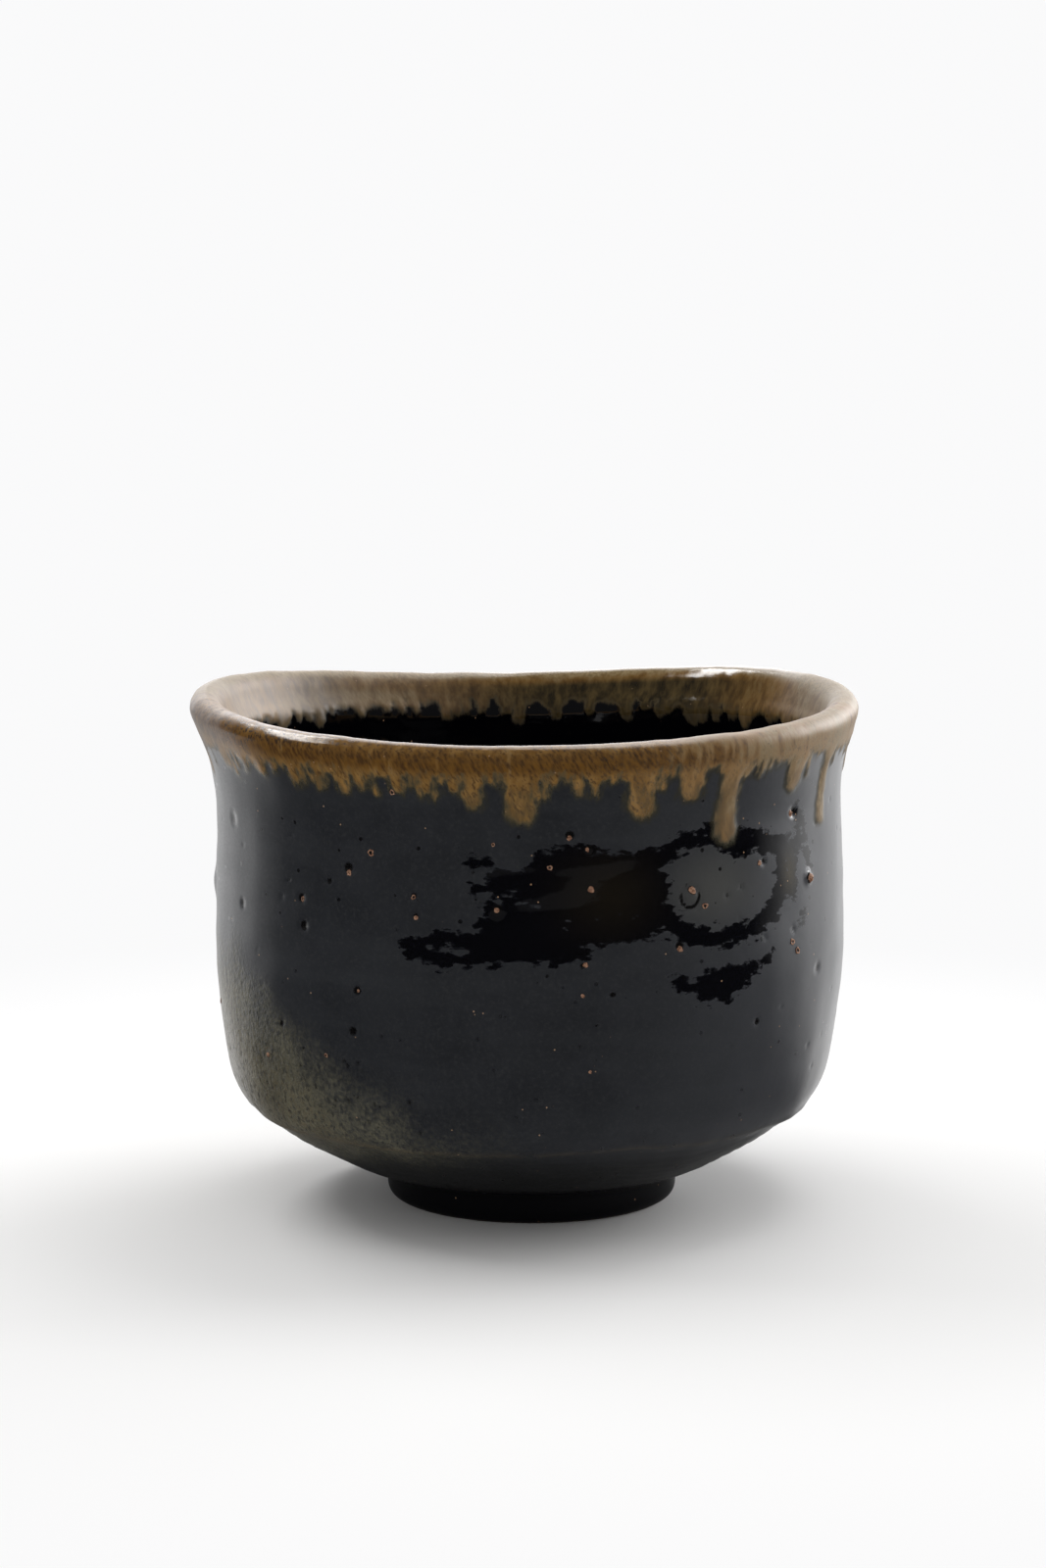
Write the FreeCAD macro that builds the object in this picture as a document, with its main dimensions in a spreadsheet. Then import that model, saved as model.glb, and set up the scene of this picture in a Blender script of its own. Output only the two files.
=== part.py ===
import FreeCAD, Part

import math
import os

import Sketcher

# A matcha bowl of thrown black stoneware. The frame: +Z is up, the floor is z = 0, the front faces -Y,
# and the origin is under the middle of the mouth. Millimetres and degrees.

SIZES = [
    # the outside, over the glaze
    ("rim_height", 86.8, "crest of the lip at the front and back"),
    ("rim_rise", 2.8, "how much higher the lip is at the left and right"),
    ("rim_tilt", 0.4, "degrees by which the lip climbs to the back"),
    ("mouth_radius", 58.2, "outside of the lip"),
    ("waist_radius", 54.2, "narrowest place under the lip"),
    ("waist_drop", 12.5, "from the lip down to the waist"),
    ("belly_radius", 55.4, "widest place of the wall"),
    ("heel_radius", 52.6, "where the wall turns in to the underside"),
    ("trim_edge_radius", 49.3, "crease left by trimming the underside"),
    ("trim_edge_height", 17.6, "height of that crease"),
    ("base_radius", 29.0, "flat of the underside around the foot"),
    ("base_height", 5.9, "underside of the base above the floor"),
    ("lean", 0.92, "degrees by which the whole wall leans to the left"),
    # walls and glaze
    ("wall_thickness", 5.6, "glazed wall at the belly and waist"),
    ("heel_thickness", 8.0, "glazed wall at the heel"),
    ("lip_thickness", 6.2, "glazed wall at the lip"),
    ("lip_round", 2.2, "rounding of both edges of the lip"),
    ("floor_thickness", 7.4, "glazed floor"),
    ("pool_radius", 20.0, "shallow dip for the last of the tea"),
    ("pool_depth", 1.0, "depth of that dip"),
    ("glaze_thickness", 0.6, "coat of glaze on every side"),
    # the brown glaze of the lip and its runs
    ("lip_band", 5.5, "how far the brown glaze comes down from the crest"),
    ("run_overlap", 2.0, "how far a run starts above the edge of the band"),
    ("run_relief", 0.5, "how far a run stands out from the black glaze"),
    ("run_length", 6.0, "usual length of a run"),
    ("run_width", 4.0, "usual width of a run"),
    # the foot
    ("foot_radius", 25.5, "outside of the glazed foot where it meets the floor"),
    ("foot_flare", 0.6, "how much wider the foot is at its top"),
    ("foot_width", 5.0, "width of the ring of clay at the floor"),
    ("recess_draw", 1.5, "how much narrower the recess is at its ceiling"),
    ("foot_round", 1.1, "rounding of both edges of the contact face"),
    ("foot_bare", 1.6, "bare clay between the floor and the foot's glaze"),
    # grit
    ("stone_radius", 0.9, "usual stone that burst through the glaze"),
    ("stone_seat", 1.0, "how deep a stone reaches under the glaze's surface"),
    ("stone_proud", 0.4, "how far a usual stone stands out of the glaze"),
]

# Runs of the brown glaze: azimuth from the front, positive to the right, then how many times the usual
# length and the usual width.
OUTER_RUNS = [
    (-77, 0.9, 1.1),
    (-58, 0.4, 1.2),
    (-41, 0.4, 0.9),
    (-30, 0.5, 1.4),
    (-18, 0.4, 1.1),
    (-8, 0.9, 0.7),
    (-1, 1.4, 0.9),
    (11, 0.4, 0.9),
    (20, 1.3, 1.0),
    (27, 0.8, 0.8),
    (37, 2.0, 1.1),
    (53, 0.7, 1.0),
    (65, 1.9, 0.8),
    (88, 1.3, 1.2),
    (109, 1.8, 0.9),
    (128, 0.8, 1.1),
    (152, 2.0, 1.0),
    (171, 0.6, 0.9),
    (190, 1.5, 1.1),
    (214, 0.9, 0.9),
    (237, 1.7, 0.9),
    (262, 1.0, 1.2),
]
INNER_RUNS = [
    (-52, 0.8, 1.0),
    (-20, 0.6, 1.2),
    (14, 1.0, 0.9),
    (47, 0.7, 1.0),
    (82, 1.0, 1.1),
    (104, 0.6, 0.9),
    (126, 0.4, 1.0),
    (142, 0.7, 1.1),
    (158, 0.7, 0.8),
    (181, 1.0, 0.9),
    (197, 0.8, 0.9),
    (210, 0.4, 0.9),
    (228, 0.7, 1.0),
    (240, 0.5, 1.1),
    (272, 0.9, 1.2),
]

# Grit stones: azimuth from the front, height as a share of the rim's, and how many times the usual radius.
STONES = [
    (-54, 0.36, 0.8),
    (-43, 0.68, 1.2),
    (-33, 0.75, 1.1),
    (-31, 0.52, 0.8),
    (-28, 0.78, 0.8),
    (-20, 0.67, 0.7),
    (-6, 0.82, 0.8),
    (3, 0.52, 0.7),
    (7, 0.84, 0.9),
    (10, 0.38, 1.1),
    (10, 0.73, 0.9),
    (17, 0.75, 0.8),
    (32, 0.69, 0.9),
    (40, 0.67, 0.8),
    (53, 0.58, 0.9),
    (59, 0.70, 1.4),
    (104, 0.46, 1.0),
    (118, 0.76, 0.8),
    (147, 0.60, 1.1),
    (176, 0.39, 0.8),
    (205, 0.79, 0.9),
    (233, 0.54, 1.2),
    (262, 0.71, 0.8),
    (281, 0.41, 1.0),
]

doc = FreeCAD.newDocument("matcha_bowl")

sizes = doc.addObject("Spreadsheet::Sheet", "sizes")
for row, (alias, value, note) in enumerate(SIZES, start=1):
    sizes.set(f"A{row}", alias)
    sizes.set(f"B{row}", str(value))
    sizes.set(f"C{row}", note)
    sizes.setAlias(f"B{row}", alias)
doc.recompute()

STONE_SIDES = 7
LIP_ROUND_SHARE = 0.42  # of the lip's thickness at most, since both edges share it
SAME_PLACE = 0.001  # heights closer than this are the same

# Rough places for new sketch geometry, before its constraints move it.
ROUGH_RADIUS = 40
ROUGH_STEP = 10
ROUGH_TOP = 90
ROUGH_RING = ((20, 0), (25, 0), (26, 6), (19, 6))

# Expressions that several pieces share.
CLEAR_HEIGHT = "(sizes.rim_height + 3 * sizes.rim_rise)"  # above the lip's highest place
WAIST_HEIGHT = "(sizes.rim_height - sizes.waist_drop)"
RIM_ARC = "((sizes.mouth_radius ^ 2 + sizes.rim_rise ^ 2) / (2 * sizes.rim_rise))"
FLOOR_HEIGHT = "(sizes.base_height + sizes.floor_thickness)"
FOOT_TOP = "(sizes.base_height + 3 * sizes.glaze_thickness)"  # inside the base, where it is cut to meet it
FOOT_CLAY = "(sizes.foot_radius - sizes.glaze_thickness)"  # outside of the foot's clay at the floor
FOOT_SHIFT = "(sizes.rim_height * sin(sizes.lean))"  # the foot is this far right of the mouth
PRISM_START = "(0.7 * sizes.mouth_radius)"  # inside the wall, where the runs' prisms are still apart
RUN_TOP = "(sizes.rim_height - sizes.lip_band + sizes.run_overlap)"


def up_the_wall(share):
    """The height a share of the way from the crease to the waist."""
    return f"(sizes.trim_edge_height + {share} * ({WAIST_HEIGHT} - sizes.trim_edge_height))"


def between(low, high, share):
    """The size a share of the way from one size to another."""
    return f"(sizes.{low} + {share} * (sizes.{high} - sizes.{low}))"


# Control points of the wall's curve: height, outside radius and thickness of the glazed wall.
WALL = [
    (up_the_wall(0.08), "sizes.heel_radius", "sizes.heel_thickness"),
    (
        up_the_wall(0.25),
        between("heel_radius", "belly_radius", 0.6),
        between("heel_thickness", "wall_thickness", 0.6),
    ),
    (up_the_wall(0.5), "sizes.belly_radius", "sizes.wall_thickness"),
    (up_the_wall(0.75), between("belly_radius", "waist_radius", 0.2), "sizes.wall_thickness"),
    (WAIST_HEIGHT, "sizes.waist_radius", "sizes.wall_thickness"),
    (
        "(sizes.rim_height - 0.35 * sizes.waist_drop)",
        between("waist_radius", "mouth_radius", 0.58),
        "sizes.lip_thickness",
    ),
    ("sizes.rim_height", "sizes.mouth_radius", "sizes.lip_thickness"),
    (CLEAR_HEIGHT, between("waist_radius", "mouth_radius", 1.6), "sizes.lip_thickness"),
]


def bind(item, **expressions):
    """Bind properties of a document object to expressions; a double underscore stands for a dot."""
    for name, expression in expressions.items():
        item.setExpression(name.replace("__", "."), expression)
    return item


def hold(sketch, geometry, point, radius, height):
    """Hold a point of a profile at a radius from the axis and a height."""
    for kind, distance in (("DistanceX", radius), ("DistanceY", height)):
        if distance == "0":
            axis = -2 if kind == "DistanceX" else -1
            sketch.addConstraint(Sketcher.Constraint("PointOnObject", geometry, point, axis))
        else:
            number = sketch.addConstraint(Sketcher.Constraint(kind, -1, 1, geometry, point, 10.0))
            sketch.setExpression(f"Constraints[{number}]", distance)


def turned_form(name, straight, curve):
    """A solid turned about the bowl's leaning axis: straight sides first, then one smooth curve."""
    sketch = doc.addObject("Sketcher::SketchObject", f"{name}_profile")
    sketch.Placement.Rotation = FreeCAD.Rotation(FreeCAD.Vector(1, 0, 0), 90)
    rough = [FreeCAD.Vector(ROUGH_RADIUS + number, ROUGH_STEP * number, 0) for number in range(len(curve))]
    spline = sketch.addGeometry(Part.BSplineCurve(rough, None, None, False, 3, None, False))
    sketch.exposeInternalGeometry(spline)
    for number, (radius, height) in enumerate(curve, start=1):
        hold(sketch, spline + number, 3, radius, height)
    corners = [*straight, curve[0]]
    top = curve[-1][1]
    last = (spline, 2)
    rough_top = FreeCAD.Vector(0, ROUGH_TOP, 0)
    rough_low = FreeCAD.Vector(1, 1, 0)
    rough_foot = FreeCAD.Vector(ROUGH_RADIUS, 0, 0)
    for radius, height in [("0", top), ("0", corners[0][1]), *corners[1:-1]]:
        line = sketch.addGeometry(Part.LineSegment(rough_top, rough_low))
        sketch.addConstraint(Sketcher.Constraint("Coincident", line, 1, *last))
        hold(sketch, line, 2, radius, height)
        last = (line, 2)
    if straight:
        line = sketch.addGeometry(Part.LineSegment(rough_low, rough_foot))
        sketch.addConstraint(Sketcher.Constraint("Coincident", line, 1, *last))
        sketch.addConstraint(Sketcher.Constraint("Coincident", line, 2, spline, 1))
    solid = doc.addObject("Part::Revolution", name)
    solid.Source = sketch
    solid.Axis = FreeCAD.Vector(0, 0, 1)
    solid.Solid = True
    solid.Placement.Rotation = FreeCAD.Rotation(FreeCAD.Vector(0, 1, 0), -1)
    return bind(
        solid,
        Placement__Rotation__Angle="-sizes.lean",
        Placement__Base__x=FOOT_SHIFT,
        Placement__Base__z="sizes.rim_height * (1 - cos(sizes.lean))",
    )


def cut(name, base, *tools):
    """Base without the tools."""
    for place, tool in enumerate(tools, start=1):
        result = doc.addObject("Part::Cut", name if place == len(tools) else f"{name}_cut_{place}")
        result.Base = base
        result.Tool = tool
        base = result
    return base


def common(name, base, tool):
    """What two solids share."""
    result = doc.addObject("Part::Common", name)
    result.Base = base
    result.Tool = tool
    return result


def fused(name, solids):
    """Several solids as one."""
    result = doc.addObject("Part::MultiFuse", name)
    result.Shapes = solids
    return result


def rounded(name, base, radius, wanted):
    """Base with a fillet along each edge that WANTED picks."""
    doc.recompute()
    fillet = doc.addObject("Part::Fillet", name)
    fillet.Base = base
    numbers = [number for number, edge in enumerate(base.Shape.Edges, start=1) if wanted(edge)]
    fillet.Edges = [(number, radius, radius) for number in numbers]
    return fillet


def outside_form(name, depth):
    """The bowl's outside as a solid, at a depth under the glaze's surface."""
    base = f"sizes.base_height + ({depth})"
    crease = (f"sizes.trim_edge_radius - ({depth})", f"sizes.trim_edge_height + ({depth}) / 2")
    wall = [(f"{radius} - ({depth})", height) for height, radius, _ in WALL]
    return turned_form(name, [("0", base), ("sizes.base_radius", base)], [crease, *wall])


def inside_form(name, depth):
    """The bowl's hollow as a solid, at a depth under the glaze's surface."""
    floor = f"{FLOOR_HEIGHT} - ({depth})"
    bottom = [
        ("0", f"{floor} - sizes.pool_depth"),
        ("0.7 * sizes.pool_radius", f"{floor} - sizes.pool_depth"),
        ("sizes.pool_radius", floor),
        ("sizes.base_radius", floor),
        (
            f"sizes.trim_edge_radius - 0.9 * sizes.heel_thickness + ({depth})",
            f"sizes.trim_edge_height + 0.3 * sizes.heel_thickness - ({depth}) / 2",
        ),
    ]
    wall = [(f"{radius} - {thickness} + ({depth})", height) for height, radius, thickness in WALL[1:]]
    return turned_form(name, [], [*bottom, *wall])


def above_arc(name, drop):
    """Everything above the saddle of the lip, lowered by a drop: a big cylinder that lies along Y."""
    reach = "(4 * sizes.mouth_radius)"
    cylinder = doc.addObject("Part::Cylinder", name)
    cylinder.Placement.Rotation = FreeCAD.Rotation(FreeCAD.Vector(1, 0, 0), -90)
    return bind(
        cylinder,
        Radius=f"{RIM_ARC} + ({drop})",
        Height=reach,
        Placement__Rotation__Angle="sizes.rim_tilt - 90",
        Placement__Base__y=f"-{reach} / 2 * cos(sizes.rim_tilt)",
        Placement__Base__z=f"sizes.rim_height + {RIM_ARC} - {reach} / 2 * sin(sizes.rim_tilt)",
    )


def pot(name, outside, hollow, arc, lip_round):
    """The whole bowl between an outside and a hollow, trimmed along the arc of its lip and rounded there."""
    raw = cut(f"{name}_raw", outside, hollow, arc)
    return rounded(name, raw, lip_round, lambda edge: edge.isClosed() and edge.BoundBox.ZMin > band_level)


def azimuth_axis(azimuth):
    """The level direction out of the bowl at an azimuth from the front."""
    angle = math.radians(azimuth)
    return FreeCAD.Vector(math.sin(angle), -math.cos(angle), 0)


def hanging_prism(name, azimuth, length, width):
    """A prism through the wall at an azimuth; seen end on, it is a tongue that hangs from the band."""
    outward = azimuth_axis(azimuth)
    tongue = doc.addObject("Part::Ellipse", f"{name}_tongue")
    up = FreeCAD.Vector(0, 0, 1)
    tongue.Placement.Rotation = FreeCAD.Rotation(up, outward.cross(up), outward, "ZXY")
    rise = outward.x**2
    bind(
        tongue,
        MajorRadius=f"sizes.run_overlap + sizes.run_length * {length}",
        MinorRadius=f"sizes.run_width * {width} / 2",
        Placement__Base__x=f"{outward.x} * {PRISM_START}",
        Placement__Base__y=f"{outward.y} * {PRISM_START}",
        Placement__Base__z=f"{RUN_TOP} + sizes.rim_rise * {rise}",
    )
    prism = doc.addObject("Part::Extrusion", name)
    prism.Base = tongue
    prism.DirMode = "Custom"
    prism.Dir = outward
    prism.Solid = True
    return bind(prism, LengthFwd="sizes.mouth_radius")


def glaze_runs(name, layer, runs):
    """The runs of brown glaze on one side of the wall: tongues of a thin layer."""
    prisms = [hanging_prism(f"{name}_{number}", *run) for number, run in enumerate(runs, start=1)]
    return common(name, layer, fused(f"{name}_prisms", prisms))


def stone(number, azimuth, share, factor):
    """One angular stone, seated in the outside of the wall."""
    outward = azimuth_axis(azimuth)
    middle = FreeCAD.Vector(0, 0, share * sizes.rim_height)
    ray = Part.makeLine(middle, middle + outward * 2 * sizes.mouth_radius).common(glaze_form.Shape)
    surface = max((vertex.Point for vertex in ray.Vertexes), key=lambda point: (point - middle).Length)
    grain = doc.addObject("Part::Prism", f"stone_{number}")
    grain.Polygon = STONE_SIDES
    grain.Placement.Base = surface - outward * sizes.stone_seat
    grain.Placement.Rotation = FreeCAD.Rotation(FreeCAD.Vector(0, 0, 1), outward)
    return bind(
        grain,
        Circumradius=f"sizes.stone_radius * {factor}",
        Height=f"sizes.stone_seat + sizes.stone_proud * {factor}",
    )


def turned_ring(name, corners):
    """A ring turned from a profile with straight sides, whose corners are given as radius and height."""
    body = doc.addObject("PartDesign::Body", name)
    sketch = body.newObject("Sketcher::SketchObject", f"{name}_profile")
    planes = {plane.Role: plane for plane in body.Origin.OriginFeatures}
    sketch.AttachmentSupport = (planes["XZ_Plane"], [""])
    sketch.MapMode = "FlatFace"
    rough = [FreeCAD.Vector(*corner, 0) for corner in ROUGH_RING]
    for number, start in enumerate(rough):
        sketch.addGeometry(Part.LineSegment(start, rough[(number + 1) % len(rough)]))
    for number, (radius, height) in enumerate(corners):
        sketch.addConstraint(Sketcher.Constraint("Coincident", number, 2, (number + 1) % len(rough), 1))
        hold(sketch, number, 1, radius, height)
    ring = body.newObject("PartDesign::Revolution", f"{name}_turning")
    ring.Profile = sketch
    ring.ReferenceAxis = (sketch, ["V_Axis"])
    ring.Angle = 360
    return bind(body, Placement__Base__x=FOOT_SHIFT)


def foot_clay_at(height):
    """The outside radius of the foot's clay at a height."""
    return f"{FOOT_CLAY} + sizes.foot_flare * ({height}) / {FOOT_TOP}"


glaze = sizes.glaze_thickness
lip_round = min(sizes.lip_round, LIP_ROUND_SHARE * sizes.lip_thickness)
band_level = sizes.rim_height - sizes.lip_band

glaze_form = outside_form("glaze_form", "0")
clay_form = outside_form("clay_form", "sizes.glaze_thickness")
glaze_hollow = inside_form("glaze_hollow", "0")
clay_hollow = inside_form("clay_hollow", "sizes.glaze_thickness")
rim_arc = above_arc("rim_arc", "0")
clay_arc = above_arc("clay_arc", "sizes.glaze_thickness")
band_arc = above_arc("band_arc", "sizes.lip_band")
run_arc = above_arc("run_arc", "sizes.lip_band - sizes.run_overlap")
doc.recompute()
# Stones, and the clay that holds them.
stones = fused("stone_grains", [stone(number, *where) for number, where in enumerate(STONES, start=1)])
glazed_bowl = pot("glazed_bowl", glaze_form, glaze_hollow, rim_arc, lip_round)
clay_bowl = pot("clay_bowl", clay_form, clay_hollow, clay_arc, lip_round - glaze)
clay_body = cut("clay_body", clay_bowl, stones)

# The foot: a ring of clay whose top is cut to meet the base, and its own coat of glaze.
foot_blank = turned_ring(
    "foot_blank",
    [
        (f"{FOOT_CLAY} - sizes.foot_width", "0"),
        (FOOT_CLAY, "0"),
        (foot_clay_at(FOOT_TOP), FOOT_TOP),
        (f"{FOOT_CLAY} - sizes.foot_width - sizes.recess_draw", FOOT_TOP),
    ],
)
doc.recompute()
turning = foot_blank.Tip
rims = [number for number, edge in enumerate(turning.Shape.Edges, start=1) if edge.BoundBox.ZMax < SAME_PLACE]
contact = foot_blank.newObject("PartDesign::Fillet", "foot_contact_edges")
contact.Base = (turning, [f"Edge{number}" for number in rims])
bind(contact, Radius="sizes.foot_round")
foot_ring = cut("foot_ring", foot_blank, clay_form)
foot_coat = turned_ring(
    "foot_coat",
    [
        (foot_clay_at("sizes.foot_bare"), "sizes.foot_bare"),
        (f"{foot_clay_at('sizes.foot_bare')} + sizes.glaze_thickness", "sizes.foot_bare"),
        (f"{foot_clay_at(FOOT_TOP)} + sizes.glaze_thickness", FOOT_TOP),
        (foot_clay_at(FOOT_TOP), FOOT_TOP),
    ],
)
foot_glaze = cut("foot_glaze", foot_coat, glaze_form)
foot_core = doc.addObject("Part::Cone", "foot_core")
bind(
    foot_core,
    Radius1=FOOT_CLAY,
    Radius2=foot_clay_at(FOOT_TOP),
    Height=FOOT_TOP,
    Placement__Base__x=FOOT_SHIFT,
)

# The coats of glaze on the wall.
outer_glaze = cut("outer_glaze", glaze_form, clay_form, band_arc, foot_core, stones)
inner_glaze = cut("inner_glaze", clay_hollow, glaze_hollow, band_arc)
lip_glaze = cut("lip_glaze", common("lip_of_glazed_bowl", glazed_bowl, band_arc), clay_bowl)

# The runs of the brown glaze, on the black coats.
run_form = outside_form("run_form", "-sizes.run_relief")
run_hollow = inside_form("run_hollow", "-sizes.run_relief")
outer_run_layer = cut("outer_run_layer", run_form, glaze_form, run_arc)
outer_runs = glaze_runs("outer_glaze_runs", outer_run_layer, OUTER_RUNS)
inner_run_layer = cut("inner_run_layer", glaze_hollow, run_hollow, run_arc)
inner_runs = glaze_runs("inner_glaze_runs", inner_run_layer, INNER_RUNS)

NODES = [
    clay_body,
    foot_ring,
    outer_glaze,
    inner_glaze,
    lip_glaze,
    foot_glaze,
    outer_runs,
    inner_runs,
    stones,
]

doc.recompute()
for item in doc.Objects:
    if "Invalid" in item.State or "Error" in item.State:
        raise RuntimeError(f"{item.Name} failed: {item.State}")
for node in NODES:
    if node.Shape.isNull() or not node.Shape.isValid():
        raise RuntimeError(f"{node.Label} has no valid shape")

os.makedirs("parts", exist_ok=True)
for node in NODES:
    node.Shape.exportStep(f"parts/{node.Label}.step")
    print(f"{node.Label}: {len(node.Shape.Solids)} solids, {node.Shape.Volume / 1000:.2f} cm3")
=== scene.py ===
"""A black stoneware matcha bowl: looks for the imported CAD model.

Every visible skin of the bowl comes from one computed surface, which is worked out in millimetres round the
leaning axis and then cut into the named glaze pieces, so that neighbours meet without a seam. Azimuths are
in degrees from the front (-Y), positive to the right (+X).
"""

import math

import bpy
import numpy as np
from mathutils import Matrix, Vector


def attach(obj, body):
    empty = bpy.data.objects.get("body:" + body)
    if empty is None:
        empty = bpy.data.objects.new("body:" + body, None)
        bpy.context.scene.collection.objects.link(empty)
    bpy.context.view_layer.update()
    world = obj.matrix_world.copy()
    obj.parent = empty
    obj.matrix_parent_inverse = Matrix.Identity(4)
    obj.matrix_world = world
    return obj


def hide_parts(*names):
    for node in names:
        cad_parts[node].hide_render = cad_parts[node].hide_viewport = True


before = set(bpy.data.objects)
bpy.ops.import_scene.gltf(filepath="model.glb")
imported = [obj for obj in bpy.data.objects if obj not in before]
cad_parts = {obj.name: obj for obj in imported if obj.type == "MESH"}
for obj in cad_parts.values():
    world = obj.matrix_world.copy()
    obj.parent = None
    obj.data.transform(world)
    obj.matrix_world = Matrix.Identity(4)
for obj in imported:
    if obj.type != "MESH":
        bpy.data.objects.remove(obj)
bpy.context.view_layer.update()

MM = 0.001
COLUMNS = 720
CREST = 88.28  # mean height of the lip's crest
FOOT_LINE = 6.05  # where the foot's glaze meets the underside
CREASE = 17.7  # the edge left by trimming the underside
BAND_EDGE = 81.9  # lower edge of the brown lip band, outside
INNER_BAND_EDGE = 81.6
WALL_RADIUS = 55.5  # turns azimuths into millimetres along the wall
FIELD_WAVES = 44  # waves added up in one random field
STEPS_PER_SPAN = 60  # steps of a smooth line between two of its points

random = np.random.default_rng(41)


# ---------------------------------------------------------------- small tools


def ease(value, low, high):
    """0 below low, 1 above high, smooth between."""
    share = np.clip((value - low) / (high - low), 0.0, 1.0)
    return share * share * (3.0 - 2.0 * share)


def window(value, low, full, fading, gone):
    """0 below low, 1 from full to fading, 0 above gone, smooth between."""
    return ease(value, low, full) * (1 - ease(value, fading, gone))


def hill(value, centre, width):
    """1 at the centre, falling smoothly to 0."""
    return np.exp(-(((value - centre) / width) ** 2))


def around(degrees):
    """An azimuth difference brought into -180..180."""
    return (degrees + 180.0) % 360.0 - 180.0


def soft_max(first, second, blend):
    """The larger of two fields, rounded where they cross."""
    share = np.clip(0.5 + 0.5 * (first - second) / blend, 0.0, 1.0)
    return second + (first - second) * share + blend * share * (1.0 - share)


def field(degrees, at_height, size):
    """A smooth random field with unit spread on the wall, with features of about SIZE millimetres."""
    total = 0.0
    turn = np.radians(degrees)
    top = WALL_RADIUS * math.pi / size
    for _ in range(FIELD_WAVES):
        around_count = round(random.normal() * top)
        up = random.normal() * math.pi / size
        phase = random.uniform(0, 2 * math.pi)
        total = total + np.cos(around_count * turn + up * at_height + phase)
    return total * math.sqrt(2.0 / FIELD_WAVES)


def between(t, start, end, first, last):
    """The point at t on the straight line from first, which is at start, to last, which is at end."""
    return (end - t) / (end - start) * first + (t - start) / (end - start) * last


def catmull_rom(corners):
    """A smooth line through points, as many small steps."""
    corners = np.array(corners, float)
    before = 2 * corners[0] - corners[1]
    after = 2 * corners[-1] - corners[-2]
    padded = np.vstack([before, corners, after])
    spans = np.linalg.norm(np.diff(padded, axis=0), axis=1) ** 0.5
    knots = np.concatenate([[0], np.cumsum(spans)])
    steps = []
    for i in range(1, len(padded) - 2):
        t = np.linspace(knots[i], knots[i + 1], STEPS_PER_SPAN, endpoint=False)[:, None]
        a = [between(t, knots[j], knots[j + 1], padded[j], padded[j + 1]) for j in (i - 1, i, i + 1)]
        b = [between(t, knots[i - 1 + j], knots[i + 1 + j], a[j], a[j + 1]) for j in (0, 1)]
        steps.append(between(t, knots[i], knots[i + 1], b[0], b[1]))
    return np.vstack([*steps, corners[-1:]])


def rows_of(line, spacing):
    """Points along a line at a spacing that may change with the height; spacing(height) is in millimetres."""
    lengths = np.linalg.norm(np.diff(line, axis=0), axis=1)
    middle = (line[1:] + line[:-1]) / 2
    count = np.concatenate([[0], np.cumsum(lengths / spacing(middle[:, 1]))])
    wanted = np.linspace(0, count[-1], max(2, int(round(count[-1])) + 1))
    return np.stack([np.interp(wanted, count, line[:, k]) for k in (0, 1)], axis=1)


def ring_quads(rows, columns):
    """The corners of every face of a grid that closes round its columns."""
    number = np.arange(rows * columns).reshape(rows, columns)
    beside = np.roll(number, -1, axis=1)
    return np.stack([number[:-1], beside[:-1], beside[1:], number[1:]], axis=-1).reshape(-1, 4)


def in_scene(name, data):
    """A new object with this data, in the scene."""
    made = bpy.data.objects.new(name, data)
    bpy.context.scene.collection.objects.link(made)
    return made


def new_mesh(name, corners, faces):
    """A new smooth mesh."""
    mesh = bpy.data.meshes.new(name)
    mesh.from_pydata(corners, [], faces)
    mesh.shade_smooth()
    return mesh


def keep_on_mesh(mesh, label, values):
    """Store one number for each vertex, for the material to read."""
    layer = mesh.attributes.new(label, "FLOAT", "POINT")
    layer.data.foreach_set("value", values.astype(np.float32))


# ---------------------------------------------------------------- the profile: radius and height

FOOT_AND_UNDERSIDE = [
    (24.5, 0.22),
    (24.95, 0.5),
    (25.4, 1.3),
    (25.65, 3.2),
    (25.9, 4.9),
    (26.6, 5.8),
    (28.4, 6.3),
    (31.5, 7.0),
    (37.4, 9.9),
    (43.3, 13.3),
    (47.0, 16.0),
    (49.35, CREASE),
]
WALL = [
    (49.35, CREASE),
    (50.7, 19.2),
    (52.5, 23.2),
    (54.1, 32.4),
    (55.2, 44.2),
    (55.1, 57.0),
    (54.75, 68.8),
    (54.8, 73.2),
    (55.5, 77.6),
    (56.6, 81.0),
    (57.6, 83.6),
    (58.1, 85.1),
    (58.15, 86.1),
    (57.75, 87.1),
    (56.8, 87.95),
    (55.6, CREST),
]
INSIDE = [
    (55.6, CREST),
    (54.6, 88.08),
    (53.6, 87.4),
    (52.75, 86.2),
    (52.1, 84.6),
    (51.45, 83.0),
    (50.95, 81.9),
    (50.7, 80.9),
    (50.6, 79.0),
    (50.5, 74.0),
    (50.1, 68.0),
    (49.6, 57.0),
    (49.2, 44.2),
    (47.2, 32.4),
    (43.2, 23.6),
    (39.9, 20.0),
    (35.5, 17.0),
    (29.5, 14.7),
    (24.0, 13.6),
    (20.0, 13.1),
    (14.0, 12.5),
    (6.0, 12.3),
    (0.25, 12.25),
]


def spacing_at_the_foot(at_height):
    """Row spacing of the foot and the underside."""
    return 0.8 - 0.45 * ease(-at_height, -7.0, -4.0)


def spacing_of_the_wall(at_height):
    """Row spacing of the wall: close where the glaze runs are."""
    return 0.56 - 0.2 * ease(at_height, 62.0, 70.0)


def spacing_inside(at_height):
    """Row spacing of the inside."""
    return 1.0 - 0.62 * ease(at_height, 66.0, 76.0)


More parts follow.
